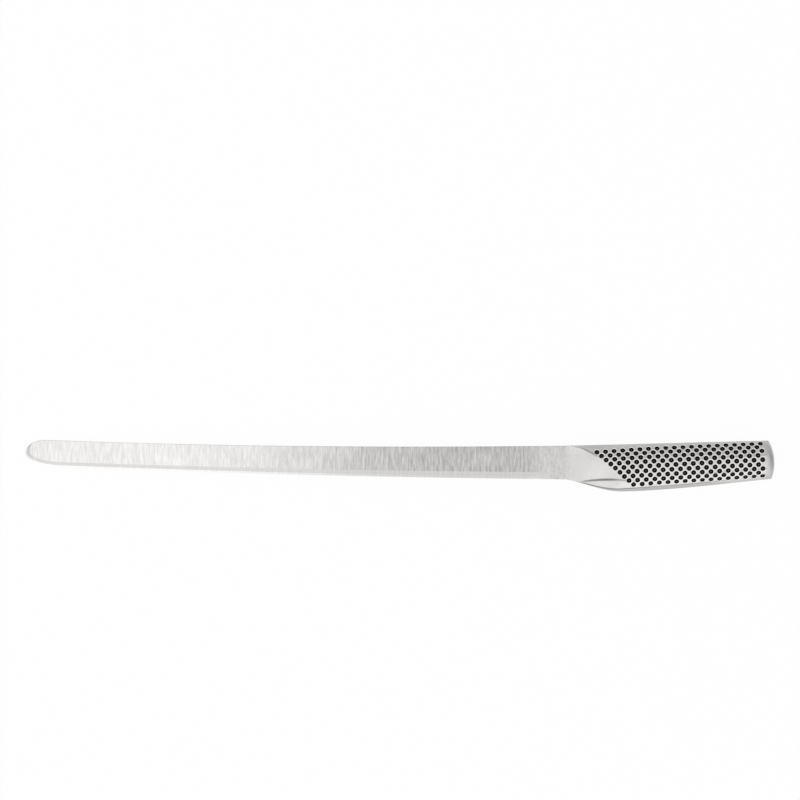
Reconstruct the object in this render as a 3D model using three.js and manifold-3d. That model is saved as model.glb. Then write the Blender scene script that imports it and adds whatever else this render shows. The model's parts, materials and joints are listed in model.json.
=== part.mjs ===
// An all-steel salmon slicing knife: a long flexible blade welded to a hollow, sand-weighted handle.
//
// Each piece is drawn in the knife's own frame, in millimetres: x runs from the nose (-) to the butt (+),
// zero at the blade's heel, y from the cutting edge (-) to the spine (+), and z across the thickness, zero on
// the middle plane and positive on the left. The finished knife is then laid on its right side, +z up.

import * as THREE from 'three';
import { mergeGeometries, mergeVertices } from 'three/addons/utils/BufferGeometryUtils.js';
import Module from 'manifold-3d';

const wasm = await Module();
wasm.setup();

// Blade outline
const BLADE_LENGTH = 322;
const HEEL_HEIGHT = 20;
const NOSE_HEIGHT = 15.7;
const TAPER_POWER = 1.7; // how early the blade narrows from heel to nose, 1 being evenly
const NOSE_RISE = 6.05; // how far the blade's centreline sweeps up from heel to nose
const SWEEP_POWER = 2.2; // how late it does so
const NOSE_DROP = 8.05; // from the spine down to the foremost point of the nose
const NOSE_SPINE_RUN = 12.5; // length of the rounding on the spine side of the nose
const NOSE_EDGE_RUN = 22; // length of the rounding on the edge side
const NOSE_EDGE_POWER = 2.2; // fullness of the edge-side rounding, 2 being an ellipse

// Blade thickness and grind
const HEEL_THICKNESS = 2;
const NOSE_THICKNESS = 1;
const EDGE_THICKNESS = 0.15;
const SPINE_CHAMFER = 0.25;
const HEEL_BEVEL = 4.2; // height of the ground bevel above the edge
const NOSE_BEVEL = 2.8;
const BLUNT_HEEL = 9; // unsharpened length in front of the handle
const BEVEL_RUNOUT = 14; // length over which the bevel grows shallow towards the heel
const BEVEL_CLOSING = 3; // the last part of it, over which the bevel also narrows

// Tongue that locates the blade inside the neck
const TONGUE_LENGTH = 11.5;
const TONGUE_ROOT = 4; // how far it reaches into the heel
const TONGUE_HEIGHT = 9;

// Handle outline
const HANDLE_LENGTH = 123.6;
const NECK_HALF_HEIGHT = 10.1;
const BUTT_TOP = 13.1;
const SPINE_SLOPE = 0.02;
const GUARD_DEPTH = 17.2; // lowest point of the finger guard, below y = 0
const GUARD_X = 33.5;
const GUARD_SLOPE = 0.025;
const NECK_SLOPE = -0.17;
const BUTT_BOTTOM = 9.7; // lower corner of the butt, below y = 0
const BUTT_SLOPE = 0.095;
const BUTT_RADIUS = 27; // crown of the butt in side view
const BUTT_CROWN_Y = -0.2;
const CROWN_POWER = 6; // how soon the cheek's rows straighten ahead of the crowned butt

// Handle section: a crowned middle flat between two ridges, a falling flat on each side down to a shoulder,
// and the edge down to the seam. Places are shares of the half height, heights shares of the bulge.
const HANDLE_THICKNESS = 17;
const SPINE_LAND = 4; // width of the flat land along the spine
const BELLY_LAND = 2;
const MIDDLE_CROWN = 0.6; // how fast the middle flat falls away from the centre line
const UPPER_RIDGE = 0.28;
const UPPER_SHOULDER = 0.85;
const UPPER_SHOULDER_HEIGHT = 0.34;
const UPPER_ROUNDING = 0.5; // share of the fall beyond the ridge that comes from rounding
const LOWER_RIDGE = 0.42;
const LOWER_SHOULDER = 0.895;
const LOWER_SHOULDER_HEIGHT = 0.31;
const LOWER_ROUNDING = 0.45;
const GUARD_SHOULDER_HEIGHT = 0.88; // the belly is fuller at the finger guard
const GUARD_FADE_FRONT = 26; // and that fullness dies out between these two
const GUARD_FADE_REAR = 58;
const BUTT_ROUNDING = 4; // length over which the cheeks round in towards the butt
const BUTT_NARROWING = 0.45; // share of the thickness lost there
const WALL = 1.6;

// Neck: the handle flares out of the blade, and a scoop for the thumb is pressed into each side
const FLARE_LENGTH = 34;
const FOLD_UPPER_X = 24.2; // how far back the scoop ends in its upper half
const FOLD_AXIS_X = 25.7; // and where the leaning end of its lower half crosses y = 0
const FOLD_LEAN = 1.06; // how far that end moves back for each millimetre down
const FOLD_TURN_Y = 8; // above this the end turns forward along the spine
const FOLD_TURN = 2.8; // how sharply, by the square of the height above it
const FOLD_TURN_REACH = 2.1; // up to this height above it
const SCOOP_POWER = 1.6;
const SCOOP_FLOOR = -10.1; // lower limit of the scoop, above the finger guard, where it arches highest
const SCOOP_FLOOR_X = 26; // where that is
const SCOOP_ARCH = 0.0045; // how fast the lower limit falls away from there
const SCOOP_STEP = 0.9; // half height of the step out to the guard
const GUARD_START = 5; // the guard grows out of the neck between these two
const GUARD_FULL = 24;
const NECK_BULKHEAD = 2.7; // solid steel between the tongue's slot and the hollow

// Welds
const NECK_GROOVE = 2; // gap between heel and handle that the neck weld fills
const NECK_WELD_WALL = 0.25; // weld metal on each side of the tongue
const SEAM_GROOVE = 1.2; // depth and half width of the V groove along the seams
const SEAM_FRONT = 17;

// Grip dimples: staggered rows round each cheek
const DIMPLE_ROWS = 9;
const DIMPLE_FRONT_ROW_PITCH = 2.7; // round the girth, up to the first of these two places
const DIMPLE_ROW_PITCH = 2.76; // and from the second
const DIMPLE_SPREAD_FRONT = 25;
const DIMPLE_SPREAD_REAR = 45;
const DIMPLE_PITCH = 5.142; // along the middle row
const DIMPLE_PITCH_LOSS = 0.0022; // by the square of the rows from the middle one
const DIMPLE_DIAMETER = 2.7;
const DIMPLE_DEPTH = 0.6;
const DIMPLE_AXIS_X = 70; // a point of the middle row's line
const DIMPLE_AXIS_Y = -0.7;
const DIMPLE_AXIS_SLOPE = 0.055;
const DIMPLE_BEND_X = 45; // in front of this the rows bend down
const DIMPLE_BEND = 0.001; // how sharply, by the square of the distance
const DIMPLE_FRONT = 18.3; // foremost dimple, in the row nearest the spine
const DIMPLE_BUTT_MARGIN = 6;
const DIMPLE_SIDES = 6;
const CUTTER_EXCESS = 0.2; // how far a cutter stands out of the surface that it cuts

const CLEARANCE = 0.3; // between neighbouring pieces
const SAND_SLACK = 0.6; // between the ballast and the wall round it
const SAND_REACH = 0.97; // share of the hollow's height that the ballast takes up

// Sizes that follow from the ones above
const TONGUE_THICKNESS = HEEL_THICKNESS - 2 * (NECK_WELD_WALL + CLEARANCE);
const CAVITY_FRONT = TONGUE_LENGTH + CLEARANCE + NECK_BULKHEAD;

// Resolution
const BLADE_STEPS = 16;
const NOSE_STEPS = 9;
const GIRTH_STEPS = [2, 4, 3, 4, 2]; // from belly to spine, across the edge, the three flats and the edge
const NECK_STEP = 2.2;
const CHEEK_STEP = 12;
const BUTT_SHARES = [0, 0.4, 0.7, 0.9]; // stations along the butt's rounding
const SEAM_STEPS = 20;
const GIRTH_WALK = 0.05; // step along the cheek's surface when the dimple rows are laid out
const MERGE_DISTANCE = 1e-5;

const STEEL = new THREE.MeshStandardMaterial({ color: 0xd6d4d1, roughness: 0.32, metalness: 1 });
const SATIN = new THREE.MeshStandardMaterial({ color: 0xdad8d5, roughness: 0.42, metalness: 1 });
const WELD = new THREE.MeshStandardMaterial({ color: 0xcfcdca, roughness: 0.38, metalness: 1 });
const SAND = new THREE.MeshStandardMaterial({ color: 0xc8b48a, roughness: 0.95, metalness: 0 });

const { clamp, lerp, smoothstep } = THREE.MathUtils;

// Cubic through two points with given slopes
function hermite(x, x0, y0, slope0, x1, y1, slope1) {
  const run = x1 - x0;
  const t = (x - x0) / run;
  const start = y0 * (1 + 2 * t) * (1 - t) ** 2 + slope0 * run * t * (1 - t) ** 2;
  const end = y1 * t ** 2 * (3 - 2 * t) + slope1 * run * t ** 2 * (t - 1);
  return start + end;
}

// Solids

function toManifold(geometry) {
  const bare = new THREE.BufferGeometry();
  bare.setAttribute('position', geometry.getAttribute('position').clone());
  bare.setIndex(geometry.getIndex());
  const merged = mergeVertices(bare, MERGE_DISTANCE);
  return new wasm.Manifold(
    new wasm.Mesh({
      numProp: 3,
      vertProperties: merged.getAttribute('position').array,
      triVerts: Uint32Array.from(merged.getIndex().array),
    }),
  );
}

function toGeometry(manifold) {
  const mesh = manifold.getMesh();
  return indexed(mesh.vertProperties, mesh.triVerts);
}

function indexed(coordinates, triangles) {
  const geometry = new THREE.BufferGeometry();
  geometry.setAttribute('position', new THREE.BufferAttribute(Float32Array.from(coordinates), 3));
  geometry.setIndex(Array.from(triangles));
  return geometry;
}

function mirrored(geometry) {
  const copy = geometry.clone().scale(1, 1, -1);
  const index = copy.getIndex().array;
  const flipped = [];
  for (let k = 0; k < index.length; k += 3) {
    flipped.push(index[k], index[k + 2], index[k + 1]);
  }
  return indexed(copy.getAttribute('position').array, flipped);
}

// Solid between a surface, given as rows of points from belly to spine, and the plane z = base below it
function solidOverPlane(rows, base) {
  const across = rows[0].length;
  const last = rows.length - 1;
  const points = rows.flat();
  const count = points.length;
  const coordinates = [];
  for (const p of points) {
    coordinates.push(p.x, p.y, p.z);
  }
  for (const p of points) {
    coordinates.push(p.x, p.y, base);
  }
  const triangles = [];
  const quad = (a, b, c, d) => triangles.push(a, b, c, a, c, d);
  for (let i = 0; i < last; i += 1) {
    for (let j = 0; j < across - 1; j += 1) {
      const a = i * across + j;
      quad(a, a + across, a + across + 1, a + 1);
    }
  }
  const border = [];
  for (let i = 0; i < last; i += 1) border.push(i * across);
  for (let j = 0; j < across - 1; j += 1) border.push(last * across + j);
  for (let i = last; i > 0; i -= 1) border.push(i * across + across - 1);
  for (let j = across - 1; j > 0; j -= 1) border.push(j);
  border.forEach((a, k) => {
    const b = border[(k + 1) % border.length];
    quad(a + count, b + count, b, a);
  });
  const contour = border.map((k) => new THREE.Vector2(points[k].x, points[k].y));
  for (const [a, b, c] of THREE.ShapeUtils.triangulateShape(contour, [])) {
    triangles.push(border[a] + count, border[c] + count, border[b] + count);
  }
  return indexed(coordinates, triangles);
}

// Solid through a row of closed loops with as many points each, with flat ends
function loft(loops) {
  const around = loops[0].length;
  const coordinates = [];
  for (const p of loops.flat()) {
    coordinates.push(p.x, p.y, p.z);
  }
  const triangles = [];
  for (let i = 0; i < loops.length - 1; i += 1) {
    for (let j = 0; j < around; j += 1) {
      const a = i * around + j;
      const b = i * around + ((j + 1) % around);
      triangles.push(a, b, b + around, a, b + around, a + around);
    }
  }
  const end = (loops.length - 1) * around;
  for (let j = 1; j < around - 1; j += 1) {
    triangles.push(0, j + 1, j, end, end + j, end + j + 1);
  }
  return indexed(coordinates, triangles);
}

function block(x0, x1, height, thickness) {
  const box = new THREE.BoxGeometry(x1 - x0, height, thickness);
  return box.translate((x0 + x1) / 2, 0, 0);
}

// Blade

function bladeHalfThickness(x) {
  return lerp(HEEL_THICKNESS, NOSE_THICKNESS, -x / BLADE_LENGTH) / 2;
}

function bladeHalfHeight(x) {
  const share = clamp(1 + x / BLADE_LENGTH, 0, 1) ** TAPER_POWER;
  return lerp(NOSE_HEIGHT, HEEL_HEIGHT, share) / 2;
}

function bladeCentre(x) {
  return NOSE_RISE * clamp(-x / BLADE_LENGTH, 0, 1) ** SWEEP_POWER;
}

// The outline from the heel's spine corner, round the nose, to the heel's edge corner. Each point says how
// much of the ground bevel's width and depth it has: none along the spine, all along the edge.
function bladeOutline() {
  const spineEnd = NOSE_SPINE_RUN - BLADE_LENGTH;
  const edgeEnd = NOSE_EDGE_RUN - BLADE_LENGTH;
  const noseDepth = NOSE_HEIGHT - NOSE_DROP;
  const spine = (x) => bladeCentre(x) + bladeHalfHeight(x);
  const edge = (x) => bladeCentre(x) - bladeHalfHeight(x);
  const outline = [];
  const add = (x, y, width, depth) => outline.push({ at: new THREE.Vector2(x, y), width, depth });

  for (let k = 0; k < BLADE_STEPS; k += 1) {
    const x = lerp(0, spineEnd, k / BLADE_STEPS);
    add(x, spine(x), 0, 0);
  }
  for (let k = 0; k < NOSE_STEPS; k += 1) {
    const angle = (k / NOSE_STEPS) * (Math.PI / 2);
    const x = spineEnd - NOSE_SPINE_RUN * Math.sin(angle);
    const bevel = smoothstep(angle, Math.PI / 5, Math.PI / 2);
    add(x, spine(x) - NOSE_DROP * (1 - Math.cos(angle)), bevel, bevel);
  }
  for (let k = 0; k < NOSE_STEPS; k += 1) {
    const angle = (k / NOSE_STEPS) * (Math.PI / 2);
    const share = 2 / NOSE_EDGE_POWER;
    const x = edgeEnd - NOSE_EDGE_RUN * Math.cos(angle) ** share;
    add(x, edge(x) + noseDepth * (1 - Math.sin(angle) ** share), 1, 1);
  }
  for (let k = 0; k < BLADE_STEPS; k += 1) {
    const x = lerp(edgeEnd, -BLUNT_HEEL - BEVEL_RUNOUT, k / BLADE_STEPS);
    add(x, edge(x), 1, 1);
  }
  const addRunout = (length) => {
    const x = -BLUNT_HEEL - length;
    add(x, edge(x), smoothstep(length, 0, BEVEL_CLOSING), smoothstep(length, 0, BEVEL_RUNOUT));
  };
  addRunout(BEVEL_RUNOUT);
  addRunout((BEVEL_RUNOUT + BEVEL_CLOSING) / 2);
  addRunout(BEVEL_CLOSING);
  addRunout(BEVEL_CLOSING / 2);
  addRunout(0);
  add(0, edge(0), 0, 0);
  return outline;
}

// The blade's sides are true planes down to the bevel, so the outline is drawn in to the line where they end
function bladeGeometry() {
  const outline = bladeOutline();
  const count = outline.length;
  const coordinates = [];
  outline.forEach(({ at, width, depth }, k) => {
    const before = outline[Math.max(k - 1, 0)].at;
    const after = outline[Math.min(k + 1, count - 1)].at;
    const along = after.clone().sub(before).normalize();
    const inward = new THREE.Vector2(-along.y, along.x);
    if (k === 0 || k === count - 1) {
      inward.set(0, -Math.sign(at.y));
    }
    const ground = lerp(HEEL_BEVEL, NOSE_BEVEL, -at.x / BLADE_LENGTH);
    const inset = lerp(SPINE_CHAMFER, ground, width);
    const flat = at.clone().addScaledVector(inward, inset);
    const half = bladeHalfThickness(flat.x);
    const rim = lerp(bladeHalfThickness(at.x) - SPINE_CHAMFER, EDGE_THICKNESS / 2, depth);
    coordinates.push(at.x, at.y, rim, flat.x, flat.y, half, flat.x, flat.y, -half, at.x, at.y, -rim);
  });
  const triangles = [];
  const quad = (a, b, c, d) => triangles.push(a, b, c, a, c, d);
  for (let k = 0; k < count - 1; k += 1) {
    const a = 4 * k;
    const b = a + 4;
    quad(a, b, b + 1, a + 1);
    quad(a + 2, b + 2, b + 3, a + 3);
    quad(a + 3, b + 3, b, a);
  }
  for (let k = 0; k < count / 2 - 1; k += 1) {
    const a = 4 * k + 1;
    const b = 4 * (count - 1 - k) + 1;
    quad(a, a + 4, b - 4, b);
    quad(b + 1, b - 3, a + 5, a + 1);
  }
  const last = 4 * (count - 1);
  const heel = [0, 1, last + 1, last, last + 3, last + 2, 2, 3];
  for (let k = 1; k < heel.length - 1; k += 1) {
    triangles.push(heel[0], heel[k], heel[k + 1]);
  }
  return indexed(coordinates, triangles);
}

function blade() {
  const tongue = block(-TONGUE_ROOT, TONGUE_LENGTH, TONGUE_HEIGHT, TONGUE_THICKNESS);
  return toGeometry(toManifold(bladeGeometry()).add(toManifold(tongue)));
}

// Handle

function handleTop(x) {
  return hermite(x, 0, NECK_HALF_HEIGHT, SPINE_SLOPE, HANDLE_LENGTH, BUTT_TOP, SPINE_SLOPE);
}

function handleBottom(x) {
  if (x < GUARD_X) {
    return hermite(x, 0, -NECK_HALF_HEIGHT, NECK_SLOPE, GUARD_X, -GUARD_DEPTH, GUARD_SLOPE);
  }
  return hermite(x, GUARD_X, -GUARD_DEPTH, GUARD_SLOPE, HANDLE_LENGTH, -BUTT_BOTTOM, BUTT_SLOPE);
}

function handleCentre(x) {
  return (handleTop(x) + handleBottom(x)) / 2;
}

function buttX(y) {
  const crown = Math.sqrt(BUTT_RADIUS ** 2 - (y - BUTT_CROWN_Y) ** 2);
  return HANDLE_LENGTH - BUTT_RADIUS + crown;
}

function foldX(y) {
  const end = Math.max(FOLD_UPPER_X, FOLD_AXIS_X - FOLD_LEAN * y);
  return end - FOLD_TURN * clamp(y - FOLD_TURN_Y, 0, FOLD_TURN_REACH) ** 2;
}

// How full the cheek is at a signed share of its half height
function sectionBulge(x, v) {
  const reach = Math.abs(v);
  let ridge = UPPER_RIDGE;
  let shoulder = UPPER_SHOULDER;
  let height = UPPER_SHOULDER_HEIGHT;
  let rounding = UPPER_ROUNDING;
  if (v < 0) {
    const fading = smoothstep(x, GUARD_FADE_FRONT, GUARD_FADE_REAR);
    ridge = LOWER_RIDGE;
    shoulder = LOWER_SHOULDER;
    height = lerp(GUARD_SHOULDER_HEIGHT, LOWER_SHOULDER_HEIGHT, fading);
    rounding = LOWER_ROUNDING;
  }
  const middle = 1 - MIDDLE_CROWN * Math.min(reach, ridge) ** 2;
  const beyond = Math.max(reach - ridge, 0) / (shoulder - ridge);
  const side = middle - (middle - height) * lerp(beyond, beyond ** 2, rounding);
  const edge = (height * (1 - reach)) / (1 - shoulder);
  return clamp(Math.min(side, edge), 0, 1);
}

// How much of the thumb's scoop there is at a point of the side view: all above its floor, none on the guard
function scoopShare(x, y) {
  const floor = SCOOP_FLOOR - SCOOP_ARCH * (x - SCOOP_FLOOR_X) ** 2;
  const above = smoothstep(y, floor - SCOOP_STEP, floor + SCOOP_STEP);
  return lerp(1, above, smoothstep(x, GUARD_START, GUARD_FULL));
}

// Half thickness that the cheek would have without the scoop, drawn in by `inset` all round
function fullHalf(x, y, inset) {
  const flare = Math.sin((Math.PI / 2) * clamp(x / FLARE_LENGTH, 0, 1));
  const body = lerp(HEEL_THICKNESS, HANDLE_THICKNESS, flare) / 2 - inset;
  const reach = (handleTop(x) - handleBottom(x)) / 2 - inset;
  const v = clamp((y - handleCentre(x)) / reach, -1, 1);
  const land = clamp((v > 0 ? SPINE_LAND : BELLY_LAND) / 2 - inset, 0, body);
  return land + (body - land) * sectionBulge(x, v);
}

// Half thickness of the handle at a point of its side view, drawn in by `inset` all round
function handleHalf(x, y, inset) {
  const deepening = clamp(x / foldX(y), 0, 1) ** SCOOP_POWER;
  const scoop = lerp(HEEL_THICKNESS, HANDLE_THICKNESS, deepening) / 2 - inset;
  const full = fullHalf(x, y, inset);
  const cheek = lerp(full, Math.min(full, scoop), scoopShare(x, y));
  const toButt = clamp((buttX(y) - x) / BUTT_ROUNDING, 0, 1);
  const rounding = 1 - BUTT_NARROWING * (1 - Math.sqrt(1 - (1 - toButt) ** 2));
  return cheek * rounding;
}

// Signed shares of the half height at which a row's points lie, so that they follow the flats
function girthShares() {
  const corners = [-1, -LOWER_SHOULDER, -LOWER_RIDGE, UPPER_RIDGE, UPPER_SHOULDER, 1];
  const shares = [-1];
  GIRTH_STEPS.forEach((steps, k) => {
    for (let step = 1; step <= steps; step += 1) {
      shares.push(lerp(corners[k], corners[k + 1], step / steps));
    }
  });
  return shares;
}

// Rows of points over one cheek at distances along the handle, drawn in by `inset` all round
function cheekRows(stations, inset, reachShare) {
  const shares = girthShares();
  return stations.map((station) => {
    const top = handleTop(station) - inset;
    const bottom = handleBottom(station) + inset;
    return shares.map((share) => {
      const y = lerp(bottom, top, (share * reachShare + 1) / 2);
      const x = station - (HANDLE_LENGTH - buttX(y)) * (station / HANDLE_LENGTH) ** CROWN_POWER;
      return new THREE.Vector3(x, y, handleHalf(x, y, inset));
    });
  });
}

function stationsBetween(front, rear) {
  const stations = [];
  const cheekStart = FLARE_LENGTH + 2 * NECK_STEP;
  const neckCount = Math.ceil((cheekStart - front) / NECK_STEP);
  for (let k = 0; k < neckCount; k += 1) {
    stations.push(lerp(front, cheekStart, k / neckCount));
  }
  const roundingStart = HANDLE_LENGTH - BUTT_ROUNDING;
  const cheekEnd = Math.min(roundingStart, rear - CHEEK_STEP / 4);
  const cheekCount = Math.ceil((cheekEnd - cheekStart) / CHEEK_STEP);
  for (let k = 0; k < cheekCount; k += 1) {
    stations.push(lerp(cheekStart, cheekEnd, k / cheekCount));
  }
  for (const share of BUTT_SHARES) {
    const station = lerp(roundingStart, HANDLE_LENGTH, share);
    if (station < rear) {
      stations.push(station);
    }
  }
  stations.push(rear);
  return stations;
}

// Point of the left cheek at a distance along its full girth from the dimples' middle row, with its normal
function girthPoint(x, girth) {
  const step = girth < 0 ? -GIRTH_WALK : GIRTH_WALK;
  const bend = DIMPLE_BEND * Math.max(0, DIMPLE_BEND_X - x) ** 2;
  let y = DIMPLE_AXIS_Y + DIMPLE_AXIS_SLOPE * (x - DIMPLE_AXIS_X) - bend;
  let full = fullHalf(x, y, 0);
  let walked = 0;
  while (walked < Math.abs(girth)) {
    y += step;
    const nextFull = fullHalf(x, y, 0);
    walked += Math.hypot(step, nextFull - full);
    full = nextFull;
  }
  const reach = DIMPLE_DIAMETER / 2;
  const slopeX = (handleHalf(x + reach, y, 0) - handleHalf(x - reach, y, 0)) / DIMPLE_DIAMETER;
  const slopeY = (handleHalf(x, y + reach, 0) - handleHalf(x, y - reach, 0)) / DIMPLE_DIAMETER;
  const at = new THREE.Vector3(x, y, handleHalf(x, y, 0));
  return { at, normal: new THREE.Vector3(-slopeX, -slopeY, 1).normalize() };
}

function dimpleCutters() {
  const cones = [];
  const growth = (DIMPLE_DEPTH + CUTTER_EXCESS) / DIMPLE_DEPTH;
  const radius = (DIMPLE_DIAMETER / 2) * growth;
  const middle = (DIMPLE_ROWS - 1) / 2;
  for (let row = 0; row < DIMPLE_ROWS; row += 1) {
    let x = DIMPLE_FRONT + row * (DIMPLE_PITCH / 2 + DIMPLE_AXIS_SLOPE * DIMPLE_ROW_PITCH);
    while (x < HANDLE_LENGTH - DIMPLE_BUTT_MARGIN) {
      const spreading = smoothstep(x, DIMPLE_SPREAD_FRONT, DIMPLE_SPREAD_REAR);
      const rowPitch = lerp(DIMPLE_FRONT_ROW_PITCH, DIMPLE_ROW_PITCH, spreading);
      const { at, normal } = girthPoint(x, (middle - row) * rowPitch);
      const cone = new THREE.ConeGeometry(radius, DIMPLE_DEPTH + CUTTER_EXCESS, DIMPLE_SIDES);
      cone.translate(0, (DIMPLE_DEPTH - CUTTER_EXCESS) / 2, 0);
      const inward = normal.clone().negate();
      cone.applyQuaternion(new THREE.Quaternion().setFromUnitVectors(new THREE.Vector3(0, 1, 0), inward));
      cones.push(cone.translate(at.x, at.y, at.z));
      x += DIMPLE_PITCH - DIMPLE_PITCH_LOSS * (middle - row) ** 2;
    }
  }
  return mergeGeometries(cones);
}

// Both halves are cut alike, so the right one is the left one mirrored
function handleShell() {
  const outerStations = stationsBetween(NECK_GROOVE, HANDLE_LENGTH);
  const hollowStations = stationsBetween(CAVITY_FRONT, HANDLE_LENGTH - WALL);
  const outside = solidOverPlane(cheekRows(outerStations, 0, 1), CLEARANCE / 2);
  const hollow = solidOverPlane(cheekRows(hollowStations, WALL, 1), -WALL);
  const slot = block(
    0,
    TONGUE_LENGTH + CLEARANCE,
    TONGUE_HEIGHT + 2 * CLEARANCE,
    TONGUE_THICKNESS + 2 * CLEARANCE,
  );
  let shell = toManifold(outside).subtract(toManifold(hollow)).subtract(toManifold(slot));
  for (const path of Object.values(seamPaths(0))) {
    shell = shell.subtract(toManifold(seamPrism(path, SEAM_GROOVE, CUTTER_EXCESS)));
  }
  return toGeometry(shell.subtract(toManifold(dimpleCutters())));
}

function sandFill() {
  const inset = WALL + SAND_SLACK;
  const front = CAVITY_FRONT + SAND_SLACK;
  const rows = cheekRows(stationsBetween(front, HANDLE_LENGTH - inset), inset, SAND_REACH);
  const half = solidOverPlane(rows, 0);
  return toGeometry(toManifold(half).add(toManifold(mirrored(half))));
}

// Welds

// The seam runs along the spine, round the butt and back along the belly. Each path is a row of points on the
// middle plane with the outward direction there, and stops `trim` short at both ends.
function seamPaths(trim) {
  const rearTop = buttX(handleTop(HANDLE_LENGTH));
  const rearBottom = buttX(handleBottom(HANDLE_LENGTH));
  const buttTop = handleTop(rearTop) - SEAM_GROOVE;
  const buttBottom = handleBottom(rearBottom) + SEAM_GROOVE;
  const up = new THREE.Vector3(0, 1, 0);
  const back = new THREE.Vector3(1, 0, 0);
  const down = new THREE.Vector3(0, -1, 0);
  const paths = { spine: [], butt: [], belly: [] };
  for (let k = 0; k <= SEAM_STEPS; k += 1) {
    const share = k / SEAM_STEPS;
    const xSpine = lerp(SEAM_FRONT + trim, rearTop - trim, share);
    const yButt = lerp(buttTop - trim, buttBottom + trim, share);
    const xBelly = lerp(rearBottom - trim, SEAM_FRONT + trim, share);
    paths.spine.push({ at: new THREE.Vector3(xSpine, handleTop(xSpine), 0), out: up });
    paths.butt.push({ at: new THREE.Vector3(buttX(yButt), yButt, 0), out: back });
    paths.belly.push({ at: new THREE.Vector3(xBelly, handleBottom(xBelly), 0), out: down });
  }
  return paths;
}

// Triangular prism along a seam: its ridge lies `depth` inside, its base stands `excess` outside
function seamPrism(path, depth, excess) {
  const half = depth + excess;
  return loft(
    path.map(({ at, out }) => {
      const outer = at.clone().addScaledVector(out, excess);
      const ridge = at.clone().addScaledVector(out, -depth);
      return [outer.clone().setZ(half), ridge, outer.clone().setZ(-half)];
    }),
  );
}

function seamWeld(path) {
  return seamPrism(path, SEAM_GROOVE - CLEARANCE * Math.SQRT2, 0);
}

function neckWeld() {
  const ring = block(CLEARANCE, NECK_GROOVE - CLEARANCE, 2 * NECK_HALF_HEIGHT, HEEL_THICKNESS);
  const hole = block(0, NECK_GROOVE, TONGUE_HEIGHT + 2 * CLEARANCE, TONGUE_THICKNESS + 2 * CLEARANCE);
  return toGeometry(toManifold(ring).subtract(toManifold(hole)));
}

// Assembly

const knife = new THREE.Group();

function place(name, geometry, material) {
  const mesh = new THREE.Mesh(geometry, material);
  mesh.name = name;
  knife.add(mesh);
}

const shell = handleShell();
const seams = seamPaths(CLEARANCE);
place('blade', blade(), STEEL);
place('handle_shell_left', shell, SATIN);
place('handle_shell_right', mirrored(shell), SATIN);
place('sand_fill', sandFill(), SAND);
place('neck_weld', neckWeld(), WELD);
place('spine_seam_weld', seamWeld(seams.spine), WELD);
place('belly_seam_weld', seamWeld(seams.belly), WELD);
place('butt_seam_weld', seamWeld(seams.butt), WELD);

// The knife balances ahead of its cheeks, so on a table it rests on the front of one cheek and on the nose
const noseX = NOSE_BEVEL - BLADE_LENGTH;
const restTilt = Math.atan2((HANDLE_THICKNESS - NOSE_THICKNESS) / 2, FLARE_LENGTH - noseX);
knife.rotation.y = -restTilt;
const reach = new THREE.Box3().setFromObject(knife, true);
knife.position.set(-(reach.min.x + reach.max.x) / 2, -(reach.min.y + reach.max.y) / 2, -reach.min.z);

const part = new THREE.Group();
part.add(knife);

export default part;
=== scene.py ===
# A salmon slicing knife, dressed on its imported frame: a long ground blade welded to a hollow steel handle
# whose cheeks are covered with black enamelled grip dimples.
#
# Pieces are modelled in the knife's own frame, in millimetres: x runs from the nose (-) to the butt (+), zero
# at the blade's heel, y from the cutting edge (-) to the spine (+), and z across the thickness, zero on the
# middle plane and positive on the left. A finished piece is then laid down where the frame holds the knife.

import json
import math

import bmesh
import bpy
from mathutils import Matrix, Vector


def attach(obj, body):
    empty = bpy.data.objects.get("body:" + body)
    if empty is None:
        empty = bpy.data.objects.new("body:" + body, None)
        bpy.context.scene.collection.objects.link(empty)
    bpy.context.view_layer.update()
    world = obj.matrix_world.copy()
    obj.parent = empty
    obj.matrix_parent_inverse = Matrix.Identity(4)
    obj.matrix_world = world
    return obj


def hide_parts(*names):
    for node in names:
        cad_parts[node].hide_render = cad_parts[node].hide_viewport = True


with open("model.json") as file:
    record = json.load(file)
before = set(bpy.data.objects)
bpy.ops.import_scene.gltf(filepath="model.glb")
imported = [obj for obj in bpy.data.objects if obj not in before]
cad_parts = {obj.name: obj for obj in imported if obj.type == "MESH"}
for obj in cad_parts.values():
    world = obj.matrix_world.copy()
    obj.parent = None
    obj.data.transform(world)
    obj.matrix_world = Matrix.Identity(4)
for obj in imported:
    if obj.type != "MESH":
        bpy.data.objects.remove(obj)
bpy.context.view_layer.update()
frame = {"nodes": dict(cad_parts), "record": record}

# Blade outline and grind, as in the part's source
BLADE_LENGTH = 322
HEEL_HEIGHT = 20
NOSE_HEIGHT = 15.7
TAPER_POWER = 1.7
NOSE_RISE = 6.05
SWEEP_POWER = 2.2
NOSE_DROP = 8.05
NOSE_SPINE_RUN = 12.5
NOSE_EDGE_RUN = 22
NOSE_EDGE_POWER = 2.2
HEEL_THICKNESS = 2
NOSE_THICKNESS = 1
EDGE_THICKNESS = 0.15
SPINE_CHAMFER = 0.25
HEEL_BEVEL = 4.2
NOSE_BEVEL = 2.8
BLUNT_HEEL = 9
BEVEL_RUNOUT = 14
BEVEL_CLOSING = 3  # over this much of its run-out the bevel narrows, and over all of it it grows shallow
BEVEL_CROWN = 0.35  # how far the ground bevel bulges out of a straight slope
HONED_SHARE = 0.34  # of the bevel's height, the honed strip along the edge, whose much lighter grey is a painted highlight
NOSE_GRIND_START = math.pi / 5  # turn round the nose, from the spine, at which the bevel begins

# Tongue inside the neck
TONGUE_LENGTH = 11.5
TONGUE_HEIGHT = 9
TONGUE_THICKNESS = 0.9
TONGUE_ROOM = 0.3

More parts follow.
